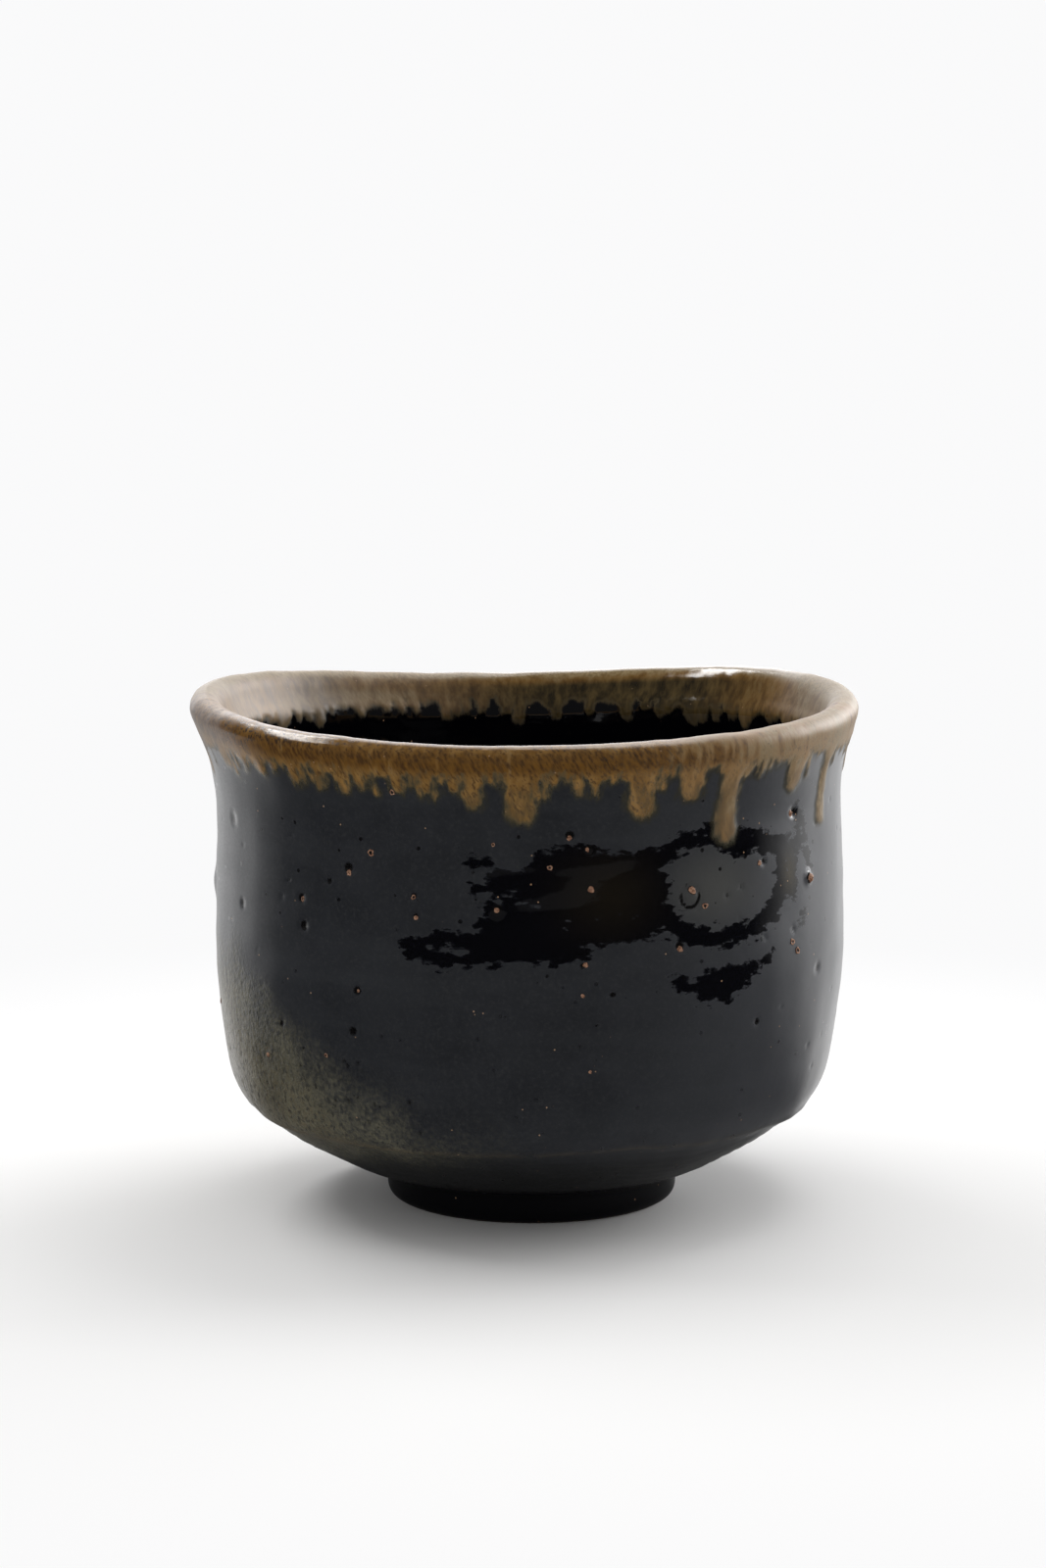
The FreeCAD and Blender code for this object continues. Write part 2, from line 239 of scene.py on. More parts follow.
low_rows = rows_of(catmull_rom(FOOT_AND_UNDERSIDE), spacing_at_the_foot)
wall_rows = rows_of(catmull_rom(WALL), spacing_of_the_wall)
inside_rows = rows_of(catmull_rom(INSIDE), spacing_inside)
profile = np.vstack([low_rows, wall_rows[1:], inside_rows[1:]])
row_count = len(profile)
row_number = np.arange(row_count)
first_wall = len(low_rows) - 1
first_inside = len(low_rows) + len(wall_rows) - 2
azimuth = np.linspace(-180.0, 180.0, COLUMNS, endpoint=False)[None, :]
radius = np.repeat(profile[:, :1], COLUMNS, axis=1)
level = profile[:, 1:]  # heights before the lip rises and falls
is_inside = row_number[:, None] > first_inside
is_outside = ~is_inside
is_wall = (row_number[:, None] >= first_wall) & is_outside


def near(degrees, width):
    """1 at an azimuth, falling smoothly to 0 on both sides."""
    return hill(around(azimuth - degrees), 0.0, width)


# ---------------------------------------------------------------- the uneven hand-made form

FINGER_PITCH = 6.4  # height of one throwing ring
FINGER_DEPTH = 0.022
TRIM_PITCH = 2.3  # width of one ring left by the trimming tool
TRIM_DEPTH = 0.045
LIP_LUMPS = 0.03


def crest_wave(degrees):
    """How far the lip's crest is above its mean height."""
    a = np.radians(degrees)
    slow = 0.02 * np.sin(a) - 0.56 * np.cos(a) - 1.46 * np.cos(2 * a) - 0.18 * np.sin(2 * a)
    return slow + 0.25 * np.sin(3 * a) + 0.54 * np.cos(3 * a) - 0.11 * np.cos(4 * a)


lift = ease(level, 60.0, 84.0) * crest_wave(azimuth)
away_from_foot = ease(level, 5.0, 12.0)
near_crest = ease(level, 84.0, 87.0)
slow_swell = 0.16 * field(azimuth, level, 46.0) + 0.05 * field(azimuth, level, 14.0)
spiral_level = level + azimuth / 90.0 + 0.6 * field(azimuth, level, 60.0)
fingers = np.sin(2 * math.pi * spiral_level / FINGER_PITCH)
finger_depth = FINGER_DEPTH * (0.6 + 0.4 * field(azimuth, level, 40.0)) * (1 - near_crest)
outward = np.where(is_inside, -1.0, 1.0)
radius = radius + away_from_foot * (slow_swell + outward * finger_depth * fingers)

# The trimmed underside: flat facets left by the tool, and a burr along the crease at both sides.
trim_share = window(level, 6.5, 10.0, CREASE + 0.5, CREASE + 7.0) * is_outside
facets = 0.40 * field(azimuth, level * 0.3, 34.0) + 0.05 * field(azimuth, level, 11.0)
height = level + trim_share * facets
burr = hill(level, CREASE, 0.75) * is_outside
burr_here = 0.10 + 0.22 * ease(np.abs(around(azimuth + 4.0)), 16.0, 36.0)
radius = radius + burr * burr_here * (1 + 0.5 * field(azimuth, level * 0.2, 9.0))
trim_rings = np.sin(2 * math.pi * radius / TRIM_PITCH + 1.4 * field(azimuth, level, 50.0))
height = height + TRIM_DEPTH * trim_rings * window(radius, 28.0, 31.0, 47.0, 49.0) * is_outside

# The lip is a little lumpy.
radius = radius + near_crest * LIP_LUMPS * field(azimuth, level, 5.0)
crest_lumps = 0.06 * field(azimuth, 0.0, 12.0) + 0.02 * field(azimuth, 0.0, 4.0)
z = height + lift + ease(level, 80.0, 86.0) * crest_lumps  # heights of the finished surface


# ---------------------------------------------------------------- the brown glaze: millimetres into it

# Runs on the outside: azimuth, height of the tip, width.
RUNS = [
    (-98, 76.0, 4.6),
    (-77, 76.2, 3.8),
    (-63, 79.4, 3.0),
    (-50, 79.0, 2.6),
    (-41.2, 78.4, 2.6),
    (-36, 78.2, 2.4),
    (-31.5, 78.0, 2.6),
    (-28, 78.6, 2.2),
    (-21.3, 78.6, 2.6),
    (-16.3, 78.6, 2.4),
    (-11.5, 78.9, 2.2),
    (-8.2, 76.1, 3.2),
    (-0.8, 73.6, 5.0),
    (11.5, 79.6, 3.2),
    (19.2, 74.0, 5.0),
    (28.4, 76.6, 4.4),
    (36.8, 69.0, 5.0),
    (53.3, 76.0, 4.6),
    (64.8, 69.2, 3.8),
    (88, 75.0, 4.6),
    (109, 72.0, 4.2),
    (128, 77.0, 4.6),
    (152, 71.0, 4.8),
    (171, 78.0, 3.6),
    (-170, 74.0, 5.0),
    (-146, 77.0, 3.8),
    (-123, 72.5, 4.2),
]
# Runs on the inside.
INNER_RUNS = [
    (-100, 77.5, 3.6),
    (-86, 79.0, 2.6),
    (-52, 78.2, 3.6),
    (-20, 79.0, 4.2),
    (14, 77.5, 3.4),
    (47, 78.4, 3.6),
    (82, 77.2, 4.0),
    (104, 79.0, 3.2),
    (126, 79.6, 3.4),
    (142, 78.4, 3.2),
    (150, 79.3, 2.2),
    (158, 78.6, 2.6),
    (166, 79.2, 2.0),
    (173, 78.4, 2.2),
    (181, 77.3, 2.8),
    (-171, 79.4, 2.4),
    (-163, 78.3, 2.6),
    (-156, 79.8, 2.6),
    (-143, 79.7, 2.2),
    (-132, 78.5, 2.6),
    (-121, 79.4, 3.4),
]
RUN_RELIEF = 0.38  # how far the runs stand out


def run_depth(run, edge, slant):
    """Millimetres into one run of glaze: a tongue that widens into the band above and has a fuller tip."""
    where, tip, width = run
    half = width / 2
    middle = tip + half
    across = np.radians(around(azimuth - where)) * WALL_RADIUS + slant * (z - edge)
    flare = 0.5 * half * np.exp(-np.clip(edge - z, 0.0, None) / 1.2)
    neck = half * (0.80 + 0.20 * hill(z, middle, 0.75 * width)) + flare
    end = half - np.hypot(across, z - middle)
    return np.where(z > middle, neck - np.abs(across), end)


def trickles(edge, longest, narrow, broad):
    """Short runs side by side all round the lip."""
    found = []
    where = -180.0
    while where < 180.0:
        width = random.uniform(narrow, broad)
        found.append((where, edge - longest * random.uniform(0.0, 1.0) ** 1.5, width))
        where += math.degrees(width * random.uniform(0.85, 1.6) / WALL_RADIUS)
    return found


def brown_depth(runs, short_runs, edge):
    """Millimetres into the brown glaze, band and runs together; no two runs slant alike."""
    depth = z - edge - 0.35 * field(azimuth, 0.0, 14.0)
    for number, run in enumerate(runs + short_runs):
        slant = 0.09 * math.sin(7.3 * number)
        depth = soft_max(depth, run_depth(run, edge, slant), 0.45)
    return depth


outer_brown = brown_depth(RUNS, trickles(BAND_EDGE, 4.2, 0.8, 1.8), BAND_EDGE)
inner_brown = brown_depth(INNER_RUNS, trickles(INNER_BAND_EDGE, 3.0, 2.0, 4.2), INNER_BAND_EDGE)
brown = np.where(is_inside, inner_brown, outer_brown)
brown = brown + 0.12 * field(azimuth, z, 1.6)
edge_level = np.where(is_inside, INNER_BAND_EDGE, BAND_EDGE)
thick_below = 1 - ease(z, edge_level - 0.6, edge_level + 3.4)
relief = RUN_RELIEF * ease(brown, -0.6, 1.6) * thick_below
relief = relief * (1 - 0.65 * window(-azimuth, 22.0, 50.0, 100.0, 130.0) * is_outside)
radius = radius + outward * relief * (is_inside | is_wall)


# ---------------------------------------------------------------- glossy patches in the satin film

# Strokes: azimuth and height of both ends, and half the width in millimetres.
GLOSS = [
    (-20.3, 53.2, -15.0, 53.2, 1.5),
    (-15.0, 53.2, -6.0, 53.8, 2.5),
    (-6.0, 54.0, 7.0, 54.6, 2.9),
    (-5.0, 57.6, 8.0, 60.0, 3.3),
    (-8.6, 63.2, -3.0, 63.6, 0.8),
    (-5.0, 64.3, 7.0, 65.2, 2.0),
    (1.0, 61.2, 8.0, 62.0, 3.6),
    (2.0, 67.3, 9.5, 68.2, 1.1),
    (4.0, 69.0, 11.5, 69.4, 0.5),
    (-10.4, 67.6, -7.0, 67.8, 0.45),
    (8.0, 62.0, 20.0, 62.0, 4.2),
    (10.0, 66.4, 21.0, 66.8, 1.9),
    (8.0, 55.8, 22.0, 57.6, 2.2),
    (21.0, 67.0, 26.4, 69.6, 1.3),
    (26.4, 69.6, 33.8, 71.4, 1.2),
    (33.8, 71.0, 38.6, 69.0, 2.0),
    (38.6, 69.0, 45.0, 68.8, 1.7),
    (45.0, 68.4, 51.0, 66.6, 1.7),
    (51.0, 67.0, 56.0, 68.2, 0.9),
    (50.0, 66.0, 50.4, 60.2, 1.7),
    (53.2, 66.4, 52.8, 59.6, 1.5),
    (50.4, 60.2, 47.0, 56.6, 1.6),
    (47.0, 56.6, 42.0, 54.4, 1.4),
    (42.0, 54.4, 34.5, 53.4, 1.1),
    (34.5, 53.4, 28.8, 54.6, 1.3),
    (28.8, 54.6, 25.0, 57.0, 1.4),
    (25.0, 57.0, 22.0, 59.6, 1.8),
    (26.6, 46.9, 32.0, 45.6, 0.8),
    (32.0, 46.2, 39.0, 46.6, 1.9),
    (39.0, 47.2, 46.0, 49.2, 0.7),
    (30.4, 44.2, 36.0, 43.8, 0.8),
    (57.0, 71.0, 59.4, 61.5, 0.6),
    (56.7, 55.2, 56.6, 53.2, 0.6),
    (55.6, 73.6, 56.2, 70.0, 0.8),
    # the right side and the back, which are guessed
    (96.0, 60.0, 112.0, 62.0, 3.0),
    (100.0, 56.0, 120.0, 57.5, 1.6),
    (150.0, 48.0, 168.0, 51.0, 2.6),
    (158.0, 53.0, 176.0, 55.0, 1.4),
    (-128.0, 62.0, -112.0, 64.0, 2.4),
    (-150.0, 40.0, -140.0, 41.0, 1.6),
]
FILM_HOLES = [
    (-17.0, 53.2, -10.6, 53.0, 0.55),
    (-2.0, 60.8, 1.0, 60.6, 0.35),
    (6.0, 57.0, 7.0, 57.2, 0.5),
]
FAR = 30.0  # a depth, in millimetres, for where a surface is all glossy or all satin
GLOSSY_FOOT = 6.4  # the foot is glossy up to this height


def stroke_depth(strokes, blend):
    """Millimetres into the nearest of several broad strokes."""
    across = np.radians(azimuth) * WALL_RADIUS
    depth = np.full(z.shape, -FAR)
    for a_start, z_start, a_end, z_end, half in strokes:
        start = np.array([math.radians(a_start) * WALL_RADIUS, z_start])
        run = np.array([math.radians(a_end) * WALL_RADIUS, z_end]) - start
        share = ((across - start[0]) * run[0] + (z - start[1]) * run[1]) / (run @ run)
        share = np.clip(share, 0.0, 1.0)
        away = np.hypot(across - start[0] - share * run[0], z - start[1] - share * run[1])
        depth = soft_max(depth, half - away, blend)
    return depth


gloss = np.where(is_wall, stroke_depth(GLOSS, 0.4), -FAR)
gloss = np.minimum(gloss, -stroke_depth(FILM_HOLES, 0.3))
gloss = np.where(is_inside | (level < GLOSSY_FOOT), FAR, gloss)
olive = 0.24 * near(14.0, 8.0) * hill(z, 62.0, 6.5)
olive = olive + near(52.6, 2.0) * hill(z, 62.6, 3.2)
ring_inside = near(35.0, 9.5) * hill(z, 62.0, 6.0)

# Ash that settled on the lower left; at the far left it is whitened further as a painted sheen.
to_left = -azimuth
ash_top = 19.5 + 25.0 * ease(to_left, 10.0, 80.0)
ash = ease(ash_top - z + 1.4 * field(azimuth, z, 10.0), -15.0, 17.0)
ash = ash * window(to_left, -30.0, 58.0, 118.0, 150.0) * is_outside
ash = ash * (is_wall | (level > 8.0)) * (1 - (1 - ease(level, 9.0, 17.5)) * ~is_wall)
# painted sheen: the ash grows stronger towards the far left, so that it turns white there
ash = ash * (1 + 0.6 * ease(to_left, 48.0, 84.0))
ash = ash * (1 - 0.45 * (1 - ease(level, 14.0, 18.0)) * ease(azimuth, -62.0, -35.0))
crease_line = hill(level, CREASE + 0.1, 0.32) * is_outside * (0.25 + 0.75 * ease(to_left, 5.0, 50.0))

# Where the brown glaze is pale.
lip_depth = crest_wave(azimuth) + CREST - z
pale = 0.82 * window(azimuth, 0.0, 72.0, 95.0, 125.0) * is_outside
pale = pale + 0.2 * near(-88.0, 22.0)
pale = pale + 0.6 * near(-150.0, 30.0) * ease(lip_depth, 2.2, 4.2) * is_inside
pale = pale + 0.8 * near(96.0, 26.0) * is_inside
pale = pale + 1.4 * hill(lip_depth, 0.0, 1.3) * ease(np.abs(azimuth), 70.0, 110.0)

# Where it is a thin olive wash over the black; on the inner left wall the same wash is painted shade.
from_back = around(azimuth - 165.0)
wash_and_shade = window(from_back, -50.0, -20.0, 8.0, 44.0) * is_inside * ease(lip_depth, 1.2, 2.6)
wash_and_shade = wash_and_shade + 0.5 * near(-134.0, 8.0) * is_inside * ease(lip_depth, 0.3, 1.6)
# painted shade: the wash darkens the inner left wall
wash_and_shade = wash_and_shade + 0.16 * near(-96.0, 26.0) * is_inside

# Where it is burnt dark.
burnt = near(-54.0, 22.0) * hill(lip_depth, 1.5, 1.0) * is_outside
burnt = burnt + 0.5 * near(16.0, 14.0) * hill(lip_depth, 2.2, 1.2) * is_outside
burnt = burnt + 0.5 * near(56.0, 20.0) * hill(lip_depth, 4.5, 2.5) * is_outside

# Where it is dull, and where it shines like glass.
right_side = window(azimuth, 5.0, 55.0, 110.0, 150.0) * is_outside
left_end = window(to_left, 50.0, 72.0, 110.0, 150.0)
dull = np.where(is_inside, 1.0, np.maximum(right_side, 0.8 * left_end))
sleek = window(from_back, -60.0, -34.0, 8.0, 44.0) * (level > 80)


# ---------------------------------------------------------------- pits and lumps

# Azimuth, height, radius and depth of pits; a negative depth is a lump.
PITS = [
    (-32.6, 65.4, 0.9, 0.35),
    (-36.7, 62.8, 0.6, 0.25),
    (-43.2, 59.4, 0.8, 0.30),
    (-42.6, 54.8, 0.9, 0.35),
    (-19.5, 58.3, 0.6, 0.25),
    (-19.9, 61.6, 0.7, 0.22),
    (-5.4, 59.8, 1.0, 0.35),
    (7.1, 71.9, 0.8, 0.35),
    (10.2, 69.8, 0.7, 0.25),
    (26.4, 53.0, 0.8, 0.35),
    (9.0, 50.6, 0.6, 0.25),
    (14.2, 45.7, 0.6, 0.25),
    (-30.6, 45.2, 0.8, 0.30),
    (-31.8, 38.3, 0.8, 0.30),
    (-48.9, 37.4, 0.7, 0.25),
    (-21.5, 27.0, 0.9, 0.16),
    (-28.5, 26.0, 0.7, 0.16),
    (54.0, 72.6, 0.9, 0.35),
    (45.0, 65.2, 0.6, 0.25),
    (43.5, 38.5, 0.7, 0.25),
    (-66.0, 70.0, 1.4, 0.25),
    (-62.0, 56.0, 0.9, 0.25),
    (58.9, 60.9, 1.2, -0.35),
    (-86.0, 56.5, 2.4, -0.45),
    (62.0, 45.0, 1.0, 0.20),
    (3.0, 49.0, 0.5, 0.20),
]
# painted shade: pits are darkened at the bottom, the more the deeper they are
PIT_SHADE_DEPTH = 0.30  # a pit this deep is black at its bottom
GROOVE_AZIMUTH = 28.6
GROOVE_HEIGHT = 60.9
GROOVE_RADIUS = 1.75
GROOVE_DEPTH = 0.22


def small_pits(count, azimuths, heights, sizes, depths):
    """Small pits at random over a stretch of the wall."""
    limits = (azimuths, heights, sizes, depths)
    return [tuple(random.uniform(low, high) for low, high in limits) for _ in range(count)]


pits = PITS + small_pits(150, (-180, 180), (20, 79), (0.3, 0.6), (0.08, 0.2))
pits = pits + small_pits(170, (-112, -18), (17.5, 34), (0.35, 0.8), (0.05, 0.17))

# One big stone at the front has a round groove about it.
from_stone = np.hypot(np.radians(around(azimuth - GROOVE_AZIMUTH)) * WALL_RADIUS, z - GROOVE_HEIGHT)
groove = hill(from_stone, GROOVE_RADIUS, 0.38) * is_wall
radius = radius - GROOVE_DEPTH * groove + 0.14 * hill(from_stone, 0.0, 1.3) * is_wall
# painted shade: the lower side of the groove is darkened
pit_shade = 0.75 * groove * ease(61.8 - z, -0.6, 0.8)

for a_pit, z_pit, size, depth in pits:
    rows = np.abs(profile[:, 1] - z_pit) < 3 * size + 3
    rows[first_inside:] = False
    rows[: first_wall + 1] = False
    columns = np.abs(around(azimuth[0] - a_pit)) < math.degrees(3.2 * size / WALL_RADIUS)
    block = np.ix_(rows, columns)
    across = np.radians(around(azimuth[0, columns] - a_pit))[None, :] * WALL_RADIUS
    distance = np.hypot(across, z[block] - z_pit) / size
    hollow = hill(distance, 0.0, 1.0)
    radius[block] -= depth * (hollow - 0.10 * hill(distance, 1.5, 0.5))
    # painted shade at the bottom of each pit
    if depth > 0:
        pit_shade[block] = np.maximum(pit_shade[block], hollow * min(1.0, depth / PIT_SHADE_DEPTH))


# ---------------------------------------------------------------- positions and normals


def lean(at_height):
    """How far the wall's middle is to the right of the mouth's middle."""
    return 0.87 + 0.54 * (1 - ease(at_height, 0.0, 20.0)) - 0.87 * ease(at_height, 66.0, 86.0)


def placed(middle, distance_out, degrees, at_height):
    """Points in metres, from distances out from a middle, azimuths and heights."""
    turn = np.radians(degrees)
    x = middle + distance_out * np.sin(turn)
    return np.stack([x, -distance_out * np.cos(turn), at_height], axis=-1) * MM


def grid_normals(grid):
    """Unit normals of a grid that closes round its columns, pointing out of the glaze."""
    along = np.empty_like(grid)
    along[1:-1] = grid[2:] - grid[:-2]
    along[0] = grid[1] - grid[0]
    along[-1] = grid[-1] - grid[-2]
    across = np.roll(grid, -1, axis=1) - np.roll(grid, 1, axis=1)
    normal = np.cross(across, along)
    return normal / np.maximum(np.linalg.norm(normal, axis=-1, keepdims=True), 1e-12)


points = placed(lean(z), radius, azimuth, z)
normals = grid_normals(points)
quads = ring_quads(row_count, COLUMNS)


def face_mean(values):
    """A grid of values taken to the faces."""
    beside = np.roll(values, -1, axis=1)
    return ((values[:-1] + beside[:-1] + values[1:] + beside[1:]) / 4).reshape(-1)


LIP_PIECE_START = 0.6  # the lip's piece starts this far above the edge of the brown band
RUN_PIECE_DEPTH = 0.1  # the runs' pieces start this far into the brown

face_row = np.repeat(np.arange(row_count - 1), COLUMNS)
face_inside = face_row >= first_inside
face_low = face_row < first_wall
face_foot = face_low & (face_mean(np.repeat(level, COLUMNS, axis=1)) < FOOT_LINE)
band_line = np.where(face_inside, INNER_BAND_EDGE, BAND_EDGE) + LIP_PIECE_START
face_band = (face_mean(z) > band_line) & ~face_low
face_run = (face_mean(brown) > RUN_PIECE_DEPTH) & ~face_band & ~face_low

ATTRIBUTES = {
    "brown_mm": brown,
    "gloss_mm": gloss,
    "olive": olive,
    "ring_inside": ring_inside,
    "ash": ash,
    "crease": crease_line,
    "pit": pit_shade,
    "lip_mm": -lip_depth,
    "pale": pale,
    "wash_and_shade": wash_and_shade,
    "sleek": sleek,
    "dull": dull,
    "right_side": right_side,
    "burnt": burnt,
    "inside": is_inside * ease(lip_depth, 0.0, 0.9),
}


def piece_from_faces(name, chosen):
    """One piece made of some faces of the whole surface, with the whole surface's normals and fields."""
    used, renumbered = np.unique(quads[chosen], return_inverse=True)
    corners = points.reshape(-1, 3)[used].tolist()
    mesh = new_mesh(name, corners, renumbered.reshape(-1, 4).tolist())
    mesh.normals_split_custom_set_from_vertices(normals.reshape(-1, 3)[used].tolist())
    for label, values in ATTRIBUTES.items():
        keep_on_mesh(mesh, label, values.reshape(-1)[used])
    return in_scene(name, mesh)


# ---------------------------------------------------------------- node helpers


class Nodes:
    """Short ways to write the nodes of a material or of the world."""

    def __init__(self, owner, output_kind, place_name):
        owner.use_nodes = True
        self.owner = owner
        self.tree = owner.node_tree
        self.tree.nodes.clear()
        self.surface = self.new(output_kind).inputs["Surface"]
        self.place = self.new("ShaderNodeTexCoord").outputs[place_name]

    def new(self, kind):
        """One node."""
        return self.tree.nodes.new(kind)

    def link(self, source, target):
        """Join a socket, or set a plain value."""
        if isinstance(source, bpy.types.NodeSocket):
            self.tree.links.new(source, target)
        else:
            target.default_value = source

    def attribute(self, label):
        """A number stored on the mesh."""
        node = self.new("ShaderNodeAttribute")
        node.attribute_name = label
        return node.outputs["Fac"]

    def maths(self, operation, first, second=0.0, third=None):
        """One Math node."""
        node = self.new("ShaderNodeMath")
        node.operation = operation
        self.link(first, node.inputs[0])
        self.link(second, node.inputs[1])
        if third is not None:
            self.link(third, node.inputs[2])
        return node.outputs[0]

    def times(self, first, second):
        """One number times another."""
        return self.maths("MULTIPLY", first, second)

    def stirred(self, base, noise, amount, middle=0.5):
        """A number plus so much of a noise, which is taken about its middle."""
        return self.maths("MULTIPLY_ADD", self.maths("SUBTRACT", noise, middle), amount, base)

    def ramp(self, value, low, high, start=0.0, end=1.0):
        """A smooth step from start to end as the value goes from low to high."""
        node = self.new("ShaderNodeMapRange")
        node.interpolation_type = "SMOOTHSTEP"
        self.link(value, node.inputs["Value"])
        node.inputs["From Min"].default_value = low
        node.inputs["From Max"].default_value = high
        node.inputs["To Min"].default_value = start
        node.inputs["To Max"].default_value = end
        return node.outputs["Result"]

    def mix(self, share, first, second):
        """A colour between two colours."""
        node = self.new("ShaderNodeMix")
        node.data_type = "RGBA"
        self.link(share, node.inputs[0])
        for source, target in ((first, node.inputs[6]), (second, node.inputs[7])):
            if isinstance(source, tuple):
                target.default_value = (*source, 1.0)
            else:
                self.link(source, target)
        return node.outputs[2]

    def blend(self, share, first, second):
        """A number between two numbers."""
        node = self.new("ShaderNodeMix")
        node.data_type = "FLOAT"
        self.link(share, node.inputs[0])
        self.link(first, node.inputs[2])
        self.link(second, node.inputs[3])
        return node.outputs[0]

    def axes(self):
        """The three coordinates, in metres."""
        node = self.new("ShaderNodeSeparateXYZ")
        self.link(self.place, node.inputs[0])
        return node.outputs[0], node.outputs[1], node.outputs[2]

    def stretched(self, across, up):
        """Coordinates scaled differently across and up, for marks that run one way."""
        node = self.new("ShaderNodeMapping")
        node.inputs["Scale"].default_value = (across, across, up)
        self.link(self.place, node.inputs["Vector"])
        return node.outputs["Vector"]

    def slanted(self, up, slope):
        """As stretched, for marks that lean: slope is how far they go across for each step up."""
        x, y, z_here = self.axes()
        node = self.new("ShaderNodeCombineXYZ")
        self.link(self.maths("MULTIPLY_ADD", z_here, slope, x), node.inputs[0])
        self.link(y, node.inputs[1])
        self.link(self.times(z_here, up), node.inputs[2])
        return node.outputs[0]

    def noise(self, size_mm, detail=3.0, roughness=0.55, where=None):
        """Noise from 0 to 1 whose features are about size_mm wide."""
        node = self.new("ShaderNodeTexNoise")
        self.link(where or self.place, node.inputs["Vector"])
        node.inputs["Scale"].default_value = 1000.0 / size_mm
        node.inputs["Detail"].default_value = detail
        node.inputs["Roughness"].default_value = roughness
        return node.outputs["Fac"]

    def specks(self, spacing_mm, share, size):
        """Small round specks in a share of the cells, and a tone for each; size is a share of the spacing."""
        node = self.new("ShaderNodeTexVoronoi")
        self.link(self.place, node.inputs["Vector"])
        node.inputs["Scale"].default_value = 1000.0 / spacing_mm
        split = self.new("ShaderNodeSeparateColor")
        self.link(node.outputs["Color"], split.inputs[0])
        chosen = self.ramp(split.outputs[0], 1.0 - share, 1.0 - share + 0.01)
        spot = self.ramp(node.outputs["Distance"], size, size * 0.6)
        return self.times(chosen, spot), split.outputs[1]

    def bump(self, height, distance_mm, onto=None):
        """A bump of so many millimetres."""
        node = self.new("ShaderNodeBump")
        node.inputs["Distance"].default_value = distance_mm * MM
        self.link(height, node.inputs["Height"])
        if onto is not None:
            self.link(onto, node.inputs["Normal"])
        return node.outputs["Normal"]

    def shone(self, kind, colour, strength=1.0):
        """A shader that gives plain light: a Background or an Emission."""
        node = self.new(kind)
        node.inputs["Color"].default_value = (*colour, 1.0)
        self.link(strength, node.inputs["Strength"])
        return node.outputs[0]

    def mix_shaders(self, share, first, second):
        """A shader between two shaders."""
        node = self.new("ShaderNodeMixShader")
        for source, target in zip((share, first, second), node.inputs):
            self.link(source, target)
        return node.outputs[0]


def material_nodes(name):
    """A new material with one Principled shader, and short ways to write its nodes."""
    n = Nodes(bpy.data.materials.new(name), "ShaderNodeOutputMaterial", "Object")
    n.shader = n.new("ShaderNodeBsdfPrincipled")
    n.link(n.shader.outputs[0], n.surface)
    return n


# ---------------------------------------------------------------- materials

BLACK = (0.0012, 0.0012, 0.0022)
OLIVE = (0.0300, 0.0225, 0.0095)
FILM_DARK = (0.0140, 0.0160, 0.0205)
FILM = (0.0190, 0.0212, 0.0265)
FILM_BANDS = (0.026, 0.029, 0.034)
FILM_DUST = (0.040, 0.041, 0.043)
FILM_IN_RING = (0.074, 0.073, 0.062)
FILM_SHEEN_AT_RIGHT = (0.056, 0.058, 0.064)
FILM_SHADE_LOW = (0.0045, 0.0045, 0.0048)
ASH = (0.108, 0.100, 0.058)
ASH_PALE = (0.150, 0.138, 0.084)
ASH_WARM = (0.105, 0.080, 0.040)
ASH_WHITE_AND_SHEEN = (0.250, 0.235, 0.200)
ASH_GAPS = (0.026, 0.025, 0.018)
WORN_EDGE = (0.115, 0.085, 0.045)
OCHRE_DARK = (0.135, 0.068, 0.016)
OCHRE = (0.250, 0.138, 0.040)
OCHRE_SCRATCH = (0.055, 0.028, 0.008)
OCHRE_AT_RIGHT = (0.310, 0.172, 0.060)
CREAM_DARK = (0.166, 0.115, 0.053)
CREAM = (0.278, 0.204, 0.106)
RUST = (0.135, 0.062, 0.010)
RUST_DARK = (0.058, 0.024, 0.003)
BURNT = (0.022, 0.013, 0.006)
WASH_DARK_AND_SHADE = (0.012, 0.009, 0.004)
WASH_AND_SHADE = (0.110, 0.074, 0.027)
FRINGE = (0.034, 0.031, 0.020)
RUN_EDGE = (0.095, 0.070, 0.034)
DARK_DOT = (0.003, 0.0028, 0.0028)
DARK_SPECK = (0.010, 0.009, 0.008)
LIGHT_SPECK = (0.42, 0.26, 0.15)
PIT_SHADE = (0.003, 0.0026, 0.0024)
GLOSSY_ROUGHNESS = 0.045
ASH_ROUGHNESS = 0.46
DULL_BROWN_ROUGHNESS = 0.50
SLEEK_ROUGHNESS = 0.09


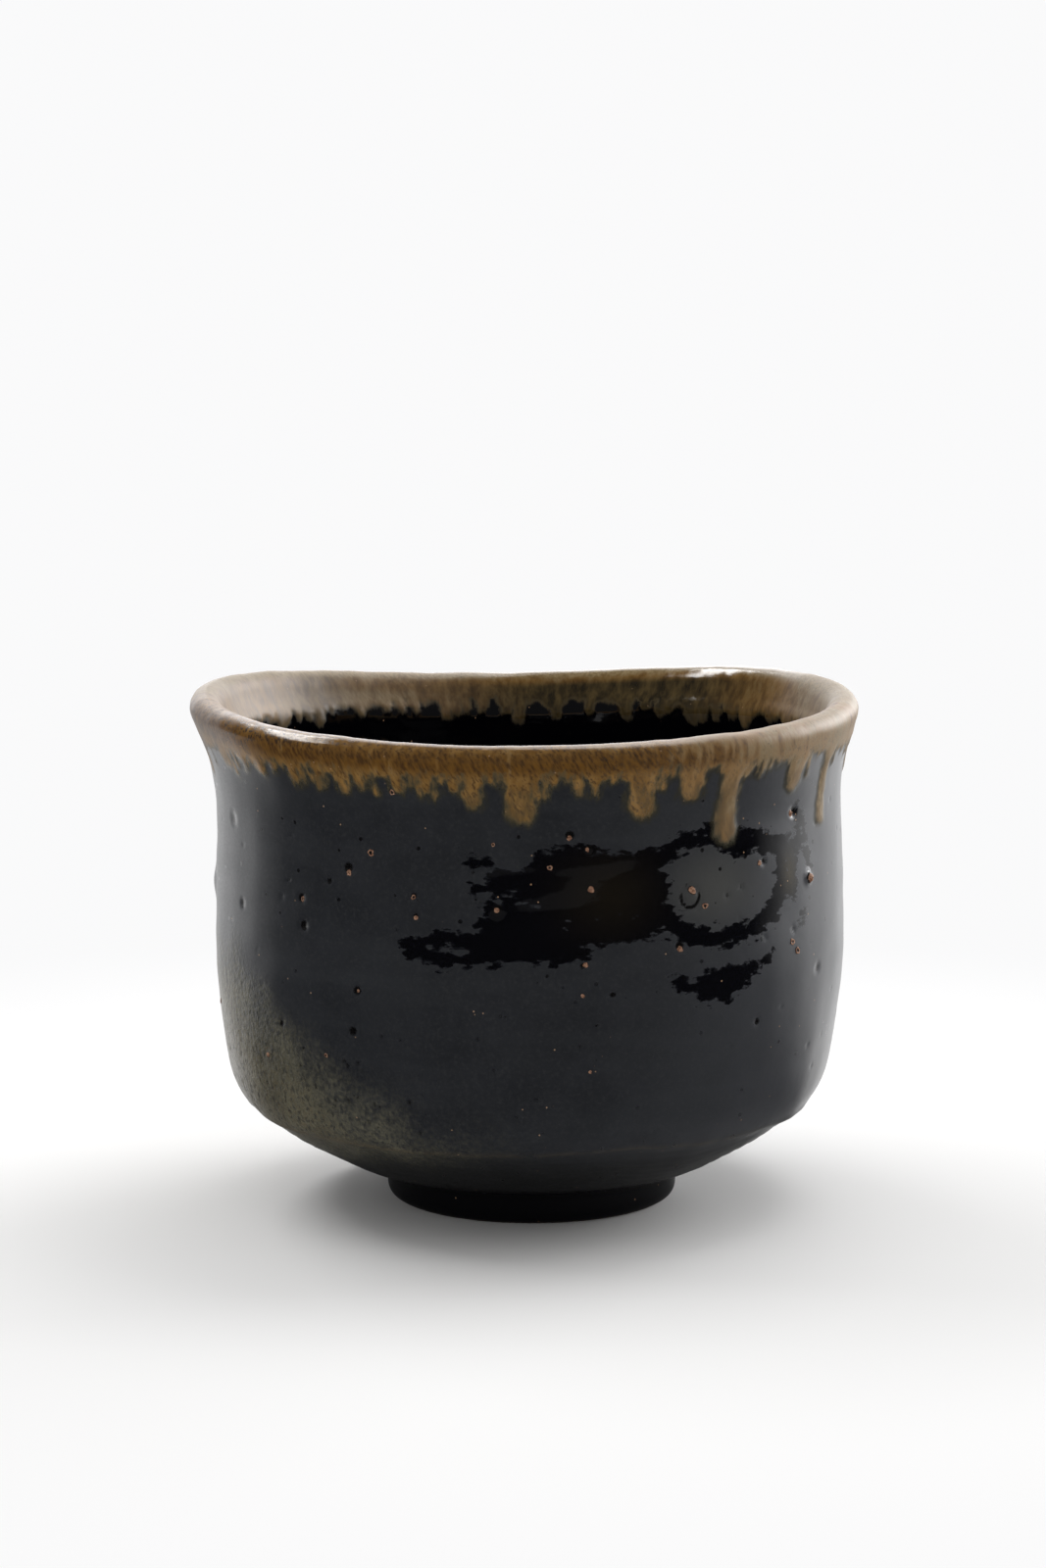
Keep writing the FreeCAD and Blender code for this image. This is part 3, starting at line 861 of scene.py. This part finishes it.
def film_and_tears(n, wide, ragged, fine):
    """The satin film over glossy black, with a painted sheen on the right and painted shade low down: its
    colour and roughness, and where it is torn.
    """
    tear = n.stirred(n.times(n.attribute("gloss_mm"), 0.7), ragged, 3.6, 0.45)
    tear = n.stirred(tear, n.noise(1.2, 2.0, 0.5, n.stretched(0.65, 1.3)), 2.4)
    glossy = n.ramp(tear, -0.26, 0.20)
    film = n.mix(n.ramp(wide, 0.3, 0.7), FILM_DARK, FILM)
    bands = n.noise(5.0, 2.0, 0.5, n.stretched(0.12, 1.0))
    film = n.mix(n.ramp(bands, 0.45, 0.75, 0.0, 0.5), film, FILM_BANDS)
    film = n.mix(n.ramp(n.noise(0.6, 4.0, 0.75), 0.45, 0.75, 0.0, 0.6), film, FILM_DUST)
    film = n.mix(n.times(n.attribute("ring_inside"), 0.8), film, FILM_IN_RING)
    # painted sheen: the film is lightened on the right side of the outside
    film = n.mix(n.times(n.attribute("right_side"), 0.6), film, FILM_SHEEN_AT_RIGHT)
    # painted shade: the film darkens towards the bottom, below 20 mm
    low = n.ramp(n.axes()[2], 20.0 * MM, 12.5 * MM)
    film = n.mix(n.times(low, 0.75), film, FILM_SHADE_LOW)
    black = n.mix(n.attribute("olive"), BLACK, OLIVE)
    satin = n.blend(n.ramp(fine, 0.3, 0.7), 0.34, 0.40)
    satin = n.blend(n.attribute("right_side"), satin, 0.30)
    return n.mix(glossy, film, black), n.blend(glossy, satin, GLOSSY_ROUGHNESS), glossy


def settled_ash(n, colour, rough, wide, ragged):
    """Ash over the lower left, whitened at the far left by a painted sheen, and the worn crease: colour and
    roughness.
    """
    crumbs = n.noise(0.8, 2.0, 0.5)
    ash_here = n.attribute("ash")
    patch = n.stirred(n.stirred(ash_here, wide, 0.35), crumbs, 1.0)
    ashy = n.times(n.ramp(patch, -0.1, 1.2), n.ramp(ash_here, 0.0, 0.35))
    ash_colour = n.mix(n.ramp(wide, 0.35, 0.65), ASH, ASH_PALE)
    warm = n.times(n.ramp(ash_here, 0.45, 0.95), n.ramp(crumbs, 0.35, 0.65))
    ash_colour = n.mix(n.times(warm, 0.6), ash_colour, ASH_WARM)
    # the ash turned white at the far left is a painted sheen
    ash_colour = n.mix(n.ramp(ash_here, 0.9, 1.6), ash_colour, ASH_WHITE_AND_SHEEN)
    mottle = n.noise(0.7, 3.0, 0.65, n.stretched(1.0, 0.6))
    ash_colour = n.mix(n.ramp(mottle, 0.50, 0.64, 0.0, 0.75), ash_colour, ASH_GAPS)
    worn = n.times(n.attribute("crease"), n.ramp(ragged, 0.30, 0.55))
    colour = n.mix(worn, n.mix(ashy, colour, ash_colour), WORN_EDGE)
    return colour, n.blend(ashy, rough, ASH_ROUGHNESS)


def brown_over(n, colour, rough, wide):
    """The brown glaze over the rest, round the lip and in runs: colour and roughness, and where it is."""
    streaks = n.noise(1.7, 3.0, 0.6, n.stretched(1.0, 0.22))
    scratch = n.noise(0.55, 3.0, 0.62, n.slanted(0.35, 0.5))
    threads = n.noise(0.9, 2.0, 0.5, n.stretched(1.0, 0.16))
    outside = n.maths("SUBTRACT", 1.0, n.attribute("inside"))
    lip = n.attribute("lip_mm")
    loose = n.times(outside, n.ramp(lip, -11.5, -8.5))
    unruly = n.times(n.maths("SUBTRACT", threads, 0.5), n.blend(loose, 0.5, 2.4))
    depth = n.maths("ADD", n.stirred(n.attribute("brown_mm"), streaks, 1.5), unruly)
    depth = n.stirred(depth, scratch, 0.7)

    # ochre, with cream where it is thick
    ochre = n.mix(n.ramp(streaks, 0.3, 0.7), OCHRE_DARK, OCHRE)
    dark_scratch = n.times(n.ramp(scratch, 0.50, 0.66), n.blend(outside, 0.3, 0.8))
    ochre = n.mix(dark_scratch, ochre, OCHRE_SCRATCH)
    ochre = n.mix(n.times(n.attribute("right_side"), 0.65), ochre, OCHRE_AT_RIGHT)
    cream = n.mix(n.ramp(scratch, 0.3, 0.7), CREAM_DARK, CREAM)
    cream_share = n.stirred(n.stirred(n.attribute("pale"), wide, 1.6), streaks, 1.8)
    brown_colour = n.mix(n.ramp(cream_share, 0.1, 1.2), ochre, cream)

    # rust and burnt marks on the roll of the lip
    rust = n.mix(n.ramp(scratch, 0.3, 0.7), RUST, RUST_DARK)
    rust_place = n.stirred(lip, streaks, 2.0)
    roll = n.times(n.ramp(rust_place, -5.6, -3.6), n.ramp(rust_place, 0.2, -2.2))
    roll = n.times(n.times(roll, outside), n.ramp(cream_share, 0.75, 0.1))
    brown_colour = n.mix(n.times(roll, 0.9), brown_colour, rust)
    scorch = n.times(n.ramp(scratch, 0.50, 0.62), n.attribute("burnt"))
    brown_colour = n.mix(n.times(scorch, 0.85), brown_colour, BURNT)
    # the olive wash, which is also painted shade on the inner left wall
    wash_and_shade_colour = n.mix(n.ramp(streaks, 0.28, 0.80), WASH_DARK_AND_SHADE, WASH_AND_SHADE)
    brown_colour = n.mix(n.attribute("wash_and_shade"), brown_colour, wash_and_shade_colour)

    # its edge, and the black that shows through low on the band
    colour = n.mix(n.times(n.ramp(depth, -1.1, 0.0), outside), colour, FRINGE)
    colour = n.mix(n.ramp(depth, -0.3, 0.5), colour, RUN_EDGE)
    veil = n.stirred(n.ramp(lip, -5.6, -8.6), streaks, -3.4)
    cover = n.times(n.ramp(depth, 0.1, 0.95), n.ramp(veil, 0.25, 1.5, 1.0, 0.45))
    is_brown = n.ramp(depth, -0.8, 0.4)
    scratched = n.blend(n.ramp(scratch, 0.35, 0.65), 0.13, 0.26)
    brown_rough = n.blend(n.attribute("dull"), scratched, DULL_BROWN_ROUGHNESS)
    brown_rough = n.blend(n.attribute("sleek"), brown_rough, SLEEK_ROUGHNESS)
    return n.mix(cover, colour, brown_colour), n.blend(is_brown, rough, brown_rough), is_brown


def specks_and_pits(n, colour, rough, is_brown):
    """Dark glossy dots in the black, small specks, and painted shade in the pits, over everything: colour and
    roughness.
    """
    dark_dots, _ = n.specks(3.3, 0.50, 0.13)
    high = n.ramp(n.axes()[2], 42.0 * MM, 58.0 * MM, 0.35, 0.9)
    spot = n.times(n.times(dark_dots, high), n.ramp(is_brown, 0.5, 0.0))
    colour = n.mix(spot, colour, DARK_DOT)
    rough = n.blend(spot, rough, 0.07)
    dots, tone = n.specks(1.3, 0.30, 0.13)
    speck_colour = n.mix(n.ramp(tone, 0.45, 0.55), DARK_SPECK, LIGHT_SPECK)
    few = n.times(n.ramp(tone, 0.80, 0.84), 0.8)
    colour = n.mix(n.times(dots, n.blend(is_brown, few, 0.5)), colour, speck_colour)
    # painted shade in the pits and on the lower side of the groove
    pit = n.ramp(n.attribute("pit"), 0.25, 0.6)
    return n.mix(pit, colour, PIT_SHADE), n.blend(n.times(pit, 0.8), rough, 0.10)


def ceramic_glaze(name, clear):
    """The whole glaze, with so much of a clear layer over it.

    It is black with a satin film and glossy tears, brown round the lip, and has ash at the lower left.
    """
    n = material_nodes(name)
    wide = n.noise(9.0, 3.0)
    ragged = n.noise(2.0, 4.0, 0.58, n.stretched(0.62, 1.35))
    fine = n.noise(0.45, 2.0)
    colour, rough, glossy = film_and_tears(n, wide, ragged, fine)
    colour, rough = settled_ash(n, colour, rough, wide, ragged)
    colour, rough, is_brown = brown_over(n, colour, rough, wide)
    colour, rough = specks_and_pits(n, colour, rough, is_brown)
    n.link(colour, n.shader.inputs["Base Color"])
    n.link(rough, n.shader.inputs["Roughness"])
    n.shader.inputs["IOR"].default_value = 1.55
    n.shader.inputs["Specular IOR Level"].default_value = 0.5
    n.shader.inputs["Coat Weight"].default_value = clear
    n.shader.inputs["Coat Roughness"].default_value = 0.12

    swell = n.bump(n.noise(5.5, 2.0), 0.05)
    skin_bump = n.bump(n.times(fine, n.blend(glossy, 1.0, 0.3)), 0.005, swell)
    crust = n.times(n.noise(1.1, 3.0, 0.60), n.ramp(n.attribute("ash"), 0.0, 0.6))
    crust_bump = n.bump(crust, 0.40, skin_bump)
    pores = n.bump(n.times(n.noise(0.16, 1.0), is_brown), 0.010, crust_bump)
    n.link(pores, n.shader.inputs["Normal"])
    return n.owner


def bare_clay():
    """Dark fired stoneware with fine grit."""
    n = material_nodes("fired_stoneware")
    tone = n.noise(7.0, 3.0)
    colour = n.mix(n.ramp(tone, 0.3, 0.7), (0.030, 0.019, 0.013), (0.066, 0.042, 0.028))
    dots, _ = n.specks(0.9, 0.3, 0.22)
    colour = n.mix(dots, colour, (0.15, 0.11, 0.08))
    n.link(colour, n.shader.inputs["Base Color"])
    n.shader.inputs["Roughness"].default_value = 0.85
    n.link(n.bump(n.noise(0.5, 4.0), 0.12), n.shader.inputs["Normal"])
    return n.owner


def burst_grit():
    """Orange-pink stones that burst through the glaze, black where the mesh says that they aren't orange."""
    n = material_nodes("burst_grit")
    tone = n.noise(0.35, 3.0)
    colour = n.mix(n.ramp(tone, 0.35, 0.65), (0.17, 0.062, 0.026), (0.40, 0.225, 0.14))
    shade = n.stirred(n.attribute("orange"), tone, 0.8)
    colour = n.mix(n.ramp(shade, 0.25, 0.75), (0.006, 0.005, 0.005), colour)
    n.link(colour, n.shader.inputs["Base Color"])
    n.shader.inputs["Roughness"].default_value = 0.6
    n.link(n.bump(tone, 0.08), n.shader.inputs["Normal"])
    return n.owner


glaze = ceramic_glaze("tenmoku_glaze", 0.0)
clear_glaze = ceramic_glaze("tenmoku_glaze_clear", 0.30)
clay = bare_clay()
grit = burst_grit()


# ---------------------------------------------------------------- the pieces

face_wall_outside = ~face_low & ~face_inside & ~face_band & ~face_run
SKINS = [
    ("glaze_foot", face_foot, "foot_glaze", "black_glaze"),
    ("glaze_underside", face_low & ~face_foot, "outer_glaze", "black_glaze"),
    ("glaze_outside", face_wall_outside, "outer_glaze", "black_glaze"),
    ("glaze_runs_outside", ~face_inside & face_run, "outer_glaze_runs", "brown_glaze"),
    ("glaze_lip", face_band, "lip_glaze", "brown_glaze"),
    ("glaze_runs_inside", face_inside & face_run, "inner_glaze_runs", "brown_glaze"),
    ("glaze_inside", face_inside & ~face_band & ~face_run, "inner_glaze", "black_glaze"),
]
for name, chosen, node, slot_name in SKINS:
    skin = piece_from_faces(name, chosen)
    skin.data.materials.append(clear_glaze if node == "outer_glaze" else glaze)
    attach(skin, "root")
    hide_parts(node)

CORE_INSET = 0.45  # the clay lies this far under the glaze's face
CORE_ROW_STEP = 3
CORE_COLUMN_STEP = 4
RECESS_CEILING = 6.35
RECESS_MIDDLE = lean(6.0)
RECESS_RINGS = np.arange(0.4, 26.0, 0.8)[:, None]
SPIRAL_DEPTH = 0.09
SPIRAL_PITCH = 3.2
NUB_HEIGHT = 0.9
NUB_WIDTH = 2.6


def clay_core():
    """The clay under the glaze, closed by the ceiling of the foot's recess with its trimming spiral."""
    above_the_foot = (profile[:, 1] > FOOT_LINE + 0.4) | (row_number > len(low_rows))
    picked = row_number[above_the_foot][::CORE_ROW_STEP]
    shell = (points - normals * CORE_INSET * MM)[picked][:, ::CORE_COLUMN_STEP]
    degrees = azimuth[0, ::CORE_COLUMN_STEP]
    spiral = SPIRAL_DEPTH * np.sin(2 * math.pi * (RECESS_RINGS / SPIRAL_PITCH) - np.radians(degrees))
    nub = NUB_HEIGHT * hill(RECESS_RINGS, 0.0, NUB_WIDTH)
    ceiling = placed(RECESS_MIDDLE, RECESS_RINGS, degrees, RECESS_CEILING + spiral - nub)
    grid = np.concatenate([ceiling, shell])
    rows, columns = grid.shape[:2]
    faces = ring_quads(rows, columns).tolist()
    first_ring = list(range(columns))
    faces.append(first_ring[::-1])
    faces.append([(rows - 1) * columns + corner for corner in first_ring])
    made = in_scene("clay_core", new_mesh("clay_core", grid.reshape(-1, 3).tolist(), faces))
    made.data.materials.append(clay)
    return made


core = clay_core()
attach(core, "root")
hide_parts("clay_body")

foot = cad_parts["foot_ring"]
foot.data.materials.clear()
foot.data.materials.append(clay)

# Stones that burst through: azimuth, height, radius. A ring has a raised orange rim round a dark middle.
RINGS = [
    (-43.2, 59.4, 0.60),
    (-27.9, 68.2, 0.75),
    (-22.7, 78.6, 0.65),
    (-19.9, 61.6, 0.55),
    (-6.0, 70.4, 0.40),
    (3.4, 66.8, 0.55),
    (31.5, 59.2, 0.70),
    (52.8, 50.6, 0.75),
    (54.4, 49.0, 0.80),
    (-38.0, 33.5, 0.45),
    (147.0, 52.0, 0.90),
    (176.0, 34.0, 0.70),
    (-127.0, 47.0, 0.90),
    (-79.0, 36.0, 0.60),
]
GRAINS = [
    (-54.2, 31.1, 0.50),
    (-32.7, 64.6, 0.60),
    (-30.6, 45.0, 0.40),
    (-19.5, 57.9, 0.55),
    (-5.5, 59.6, 0.60),
    (7.1, 71.5, 0.55),
    (10.2, 69.6, 0.45),
    (10.5, 62.9, 0.65),
    (28.8, 61.7, 0.80),
    (26.4, 52.6, 0.65),
    (9.3, 50.8, 0.55),
    (53.6, 72.5, 0.75),
    (58.9, 60.9, 1.00),
    (44.2, 65.0, 0.55),
    (9.2, 45.5, 0.40),
    (10.3, 32.7, 0.35),
    (95.0, 40.0, 0.80),
    (118.0, 66.0, 0.60),
    (-155.0, 69.0, 0.70),
    (-98.0, 62.0, 0.60),
]
# Share of the radius, height as a share of the radius, and how orange it is.
RING_PROFILE = [
    (0.0, 0.06, 0.0),
    (0.25, 0.07, 0.0),
    (0.42, 0.14, 0.3),
    (0.6, 0.30, 1.0),
    (0.78, 0.26, 0.8),
    (1.0, -0.1, 0.0),
]
GRAIN_PROFILE = [
    (0.0, 0.55, 1.0),
    (0.3, 0.54, 1.0),
    (0.6, 0.42, 1.0),
    (0.8, 0.24, 0.9),
    (0.95, 0.05, 0.5),
    (1.1, -0.25, 0.0),
]
BURST_SIDES = 18
BURST_WIDTH = 0.86  # share of the tables' radius that the stones have
BURST_HEIGHT = 0.7  # share of the tables' height that they have


def wall_point(where, at_height):
    """The finished outside surface at an azimuth and a height."""
    column = int(round((where + 180.0) / 360.0 * COLUMNS)) % COLUMNS
    rows = np.arange(len(low_rows), first_inside)
    row = rows[np.argmin(np.abs(z[rows, column] - at_height))]
    return points[row, column], normals[row, column]


def burst(where, at_height, size, shape):
    """Corners and orange shares of one burst stone, ring by ring from its middle."""
    place, normal = wall_point(where, at_height)
    sideways = np.cross([0.0, 0.0, 1.0], normal)
    sideways = sideways / np.linalg.norm(sideways)
    upward = np.cross(normal, sideways)
    angles = np.linspace(0, 2 * math.pi, BURST_SIDES, endpoint=False)
    outline = 1.0
    for lobes in (2, 3, 5):
        outline = outline + random.uniform(0.03, 0.11) * np.cos(lobes * angles + random.uniform(0, 6.3))
    corners = []
    orange = []
    for share, rise, tint in shape:
        reach = BURST_WIDTH * size * share * outline * MM
        lumps = rise * (1 + 0.25 * random.normal(size=BURST_SIDES)) * size * MM * BURST_HEIGHT
        ring = place + np.outer(reach * np.cos(angles), sideways) + np.outer(reach * np.sin(angles), upward)
        corners.append(ring + np.outer(lumps, normal))
        orange.append(np.full(BURST_SIDES, tint))
    return np.concatenate(corners), np.concatenate(orange)


def joined_bursts():
    """All burst stones as one piece."""
    corners = []
    orange = []
    faces = []
    start = 0
    for shape, places in ((RING_PROFILE, RINGS), (GRAIN_PROFILE, GRAINS)):
        for where, at_height, size in places:
            found, tints = burst(where, at_height, size, shape)
            corners.append(found)
            orange.append(tints)
            faces.append([start + k for k in range(BURST_SIDES)])
            for ring in range(len(shape) - 1):
                inner = start + ring * BURST_SIDES
                outer = inner + BURST_SIDES
                for k in range(BURST_SIDES):
                    beside = (k + 1) % BURST_SIDES
                    faces.append([inner + k, outer + k, outer + beside, inner + beside])
            start += len(found)
    mesh = new_mesh("grit_stones", np.concatenate(corners).tolist(), faces)
    keep_on_mesh(mesh, "orange", np.concatenate(orange))
    mesh.materials.append(grit)
    return in_scene("grit_stones", mesh)


stones = joined_bursts()
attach(stones, "root")
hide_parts("stone_grains")


# ---------------------------------------------------------------- floor, light and camera

FLOOR_HALF = 3.0
BACKGROUND = (0.955, 0.955, 0.96)
FLOOR_COLOUR = (0.89, 0.885, 0.88, 1.0)
NEAR_FLOOR_COLOUR = (0.02, 0.02, 0.022, 1.0)
BRIGHT_SIDE = (0.36, 0.93, 0.0)  # behind the bowl, a little to the right
DARK_SIDE_STRENGTH = 0.08
BRIGHT_SIDE_STRENGTH = 2.8
SOFT_LIGHT_STRENGTH = 0.62


def pale_floor():
    """A pale table top that keeps the shadow and fades into the background far away; from 3 cm out, for the
    camera and in mirror images, a painted white glow already lightens the shadow.

    In mirror images its near half is dark, because the photographer stands there, and its far half is pale.
    """
    half = FLOOR_HALF
    corners = [(-half, -half, 0), (half, -half, 0), (half, half, 0), (-half, half, 0)]
    floor = in_scene("floor", new_mesh("floor", corners, [(0, 1, 2, 3)]))
    n = material_nodes("pale_floor")
    n.shader.inputs["Base Color"].default_value = FLOOR_COLOUR
    n.shader.inputs["Roughness"].default_value = 0.9
    n.shader.inputs["Specular IOR Level"].default_value = 0.1
    across, along, _ = n.axes()
    distance = n.maths("SQRT", n.maths("ADD", n.times(across, across), n.times(along, along)))
    rays = n.new("ShaderNodeLightPath")
    shown = n.maths("MAXIMUM", rays.outputs["Is Camera Ray"], rays.outputs["Is Glossy Ray"])
    white = n.shone("ShaderNodeEmission", BACKGROUND)
    # painted light: the floor glows white from 3 cm out, which lightens the bowl's shadow
    glow_over_shadow = n.mix_shaders(n.times(n.ramp(distance, 0.03, 0.27), shown), n.shader.outputs[0], white)
    dark = n.new("ShaderNodeBsdfDiffuse")
    dark.inputs["Color"].default_value = NEAR_FLOOR_COLOUR
    behind = n.maths("MULTIPLY_ADD", across, 0.06, along)
    towards_back = n.maths("DIVIDE", behind, n.maths("ADD", distance, 0.05))
    near_half = n.ramp(towards_back, -0.02, 0.48, 1.0, 0.0)
    near_half = n.times(near_half, n.ramp(distance, 0.03, 0.10, 0.8, 1.0))
    darkened = n.times(near_half, rays.outputs["Is Glossy Ray"])
    n.link(n.mix_shaders(darkened, glow_over_shadow, dark.outputs[0]), n.surface)
    floor.data.materials.append(n.owner)


def studio_world():
    """Soft even light on the bowl and white for the camera; mirror images show a room.

    The room is bright behind the bowl and dark where the photographer stands.
    """
    world = bpy.data.worlds.new("studio")
    bpy.context.scene.world = world
    n = Nodes(world, "ShaderNodeOutputWorld", "Generated")
    towards = n.new("ShaderNodeVectorMath")
    towards.operation = "DOT_PRODUCT"
    towards.inputs[1].default_value = BRIGHT_SIDE
    n.link(n.place, towards.inputs[0])
    shade = n.ramp(towards.outputs["Value"], 0.20, 0.85, DARK_SIDE_STRENGTH, BRIGHT_SIDE_STRENGTH)
    mirrored = n.shone("ShaderNodeBackground", (0.97, 0.97, 1.0), shade)
    soft = n.shone("ShaderNodeBackground", (1.0, 0.998, 0.993), SOFT_LIGHT_STRENGTH)
    seen = n.shone("ShaderNodeBackground", BACKGROUND)
    rays = n.new("ShaderNodeLightPath")
    room = n.mix_shaders(rays.outputs["Is Glossy Ray"], soft, mirrored)
    n.link(n.mix_shaders(rays.outputs["Is Camera Ray"], room, seen), n.surface)


def area_lamp(name, place, aim, size, power):
    """A soft rectangular lamp that faces a point."""
    data = bpy.data.lights.new(name, "AREA")
    data.shape = "RECTANGLE"
    data.size, data.size_y = size
    data.energy = power
    lamp = in_scene(name, data)
    lamp.location = place
    lamp.rotation_euler = (Vector(aim) - Vector(place)).to_track_quat("-Z", "Y").to_euler()


pale_floor()
studio_world()
area_lamp("lamp_left", (-0.58, 0.40, 0.85), (0, 0, 0.06), (0.85, 0.12), 4.3)
area_lamp("lamp_above", (0.30, 0.40, 1.15), (0, 0, 0.04), (0.7, 0.5), 3.2)
area_lamp("lamp_right", (0.85, 0.62, 0.42), (0, 0, 0.04), (0.8, 0.5), 7.5)

CAMERA_PLACE = (-0.00013, -0.64345, 0.16104)
CAMERA_TILT = 0.1362  # radians below level
SENSOR_HEIGHT = 36.0
LENS = 84.96

camera_data = bpy.data.cameras.new("camera")
camera_data.sensor_fit = "VERTICAL"
camera_data.sensor_height = SENSOR_HEIGHT
camera_data.lens = LENS
camera = in_scene("camera", camera_data)
camera.location = CAMERA_PLACE
camera.rotation_euler = (math.pi / 2 - CAMERA_TILT, 0.0, 0.0)
bpy.context.scene.camera = camera
bpy.context.scene.view_settings.view_transform = "Standard"
